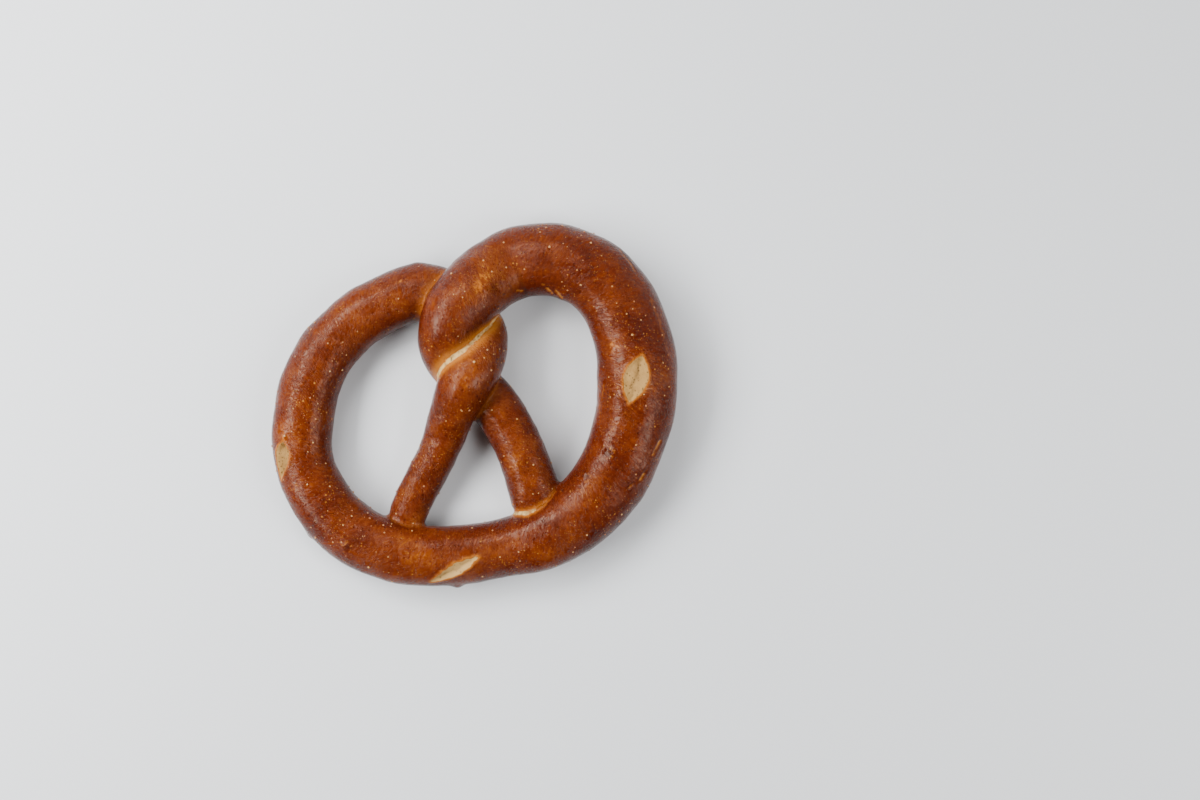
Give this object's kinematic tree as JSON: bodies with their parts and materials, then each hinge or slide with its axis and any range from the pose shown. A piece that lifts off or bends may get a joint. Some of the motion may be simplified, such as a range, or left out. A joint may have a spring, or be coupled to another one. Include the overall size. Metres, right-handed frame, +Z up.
{
  "type": "soft pretzel",
  "caption": "Baked soft pretzel: one rope of dough in a wide loop, twisted once, with both arms tucked under the belly and split brown crust.",
  "frame": {"origin": "on the table surface, under the middle of the pretzel's box", "axes": "+X along the pretzel's width towards its fat lobe, +Y from the belly towards the twist, +Z up out of the table"},
  "size_m": [0.1501, 0.1341, 0.0296],
  "materials": {
    "crust": "shiny lye-baked brown crust with pale splits"
  },
  "bodies": {
    "root": {"pretzel": "crust"}
  },
  "joints": []
}
